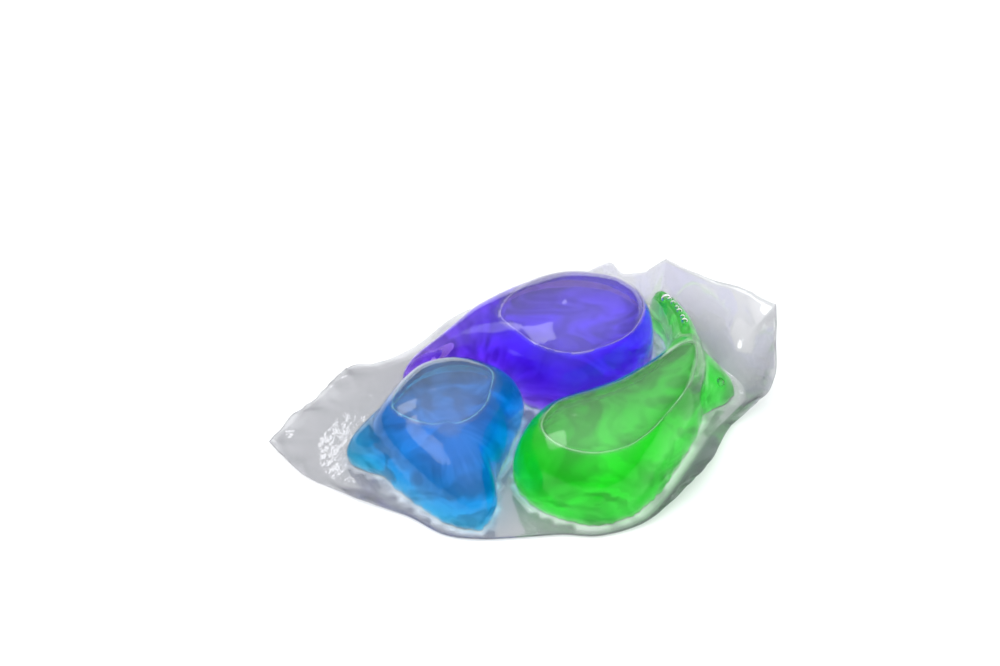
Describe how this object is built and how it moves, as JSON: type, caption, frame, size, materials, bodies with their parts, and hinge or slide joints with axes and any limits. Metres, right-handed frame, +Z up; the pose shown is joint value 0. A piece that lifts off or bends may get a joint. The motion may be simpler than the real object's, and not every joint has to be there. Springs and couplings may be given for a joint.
{
  "type": "laundry pod",
  "caption": "Liquid laundry capsule of water-soluble film with blue, violet and green liquids in three swirled comma-shaped chambers and a wide clear skirt.",
  "frame": {"origin": "centre of the pod's footprint, on the surface that it lies on", "axes": "+Z up through the chambers, +X along the skirt from its flat corner to its curled corner, -Y towards the two chambers at the front"},
  "size_m": [0.0809, 0.063, 0.0145],
  "materials": {
    "clear_film": "clear, glossy, soft water-soluble film",
    "blue_detergent": "clear blue liquid",
    "violet_detergent": "clear violet liquid",
    "green_detergent": "clear green liquid"
  },
  "bodies": {
    "root": {"lid_film": "clear_film", "formed_film": "clear_film", "blue_liquid": "blue_detergent", "violet_liquid": "violet_detergent", "green_liquid": "green_detergent"}
  },
  "joints": []
}
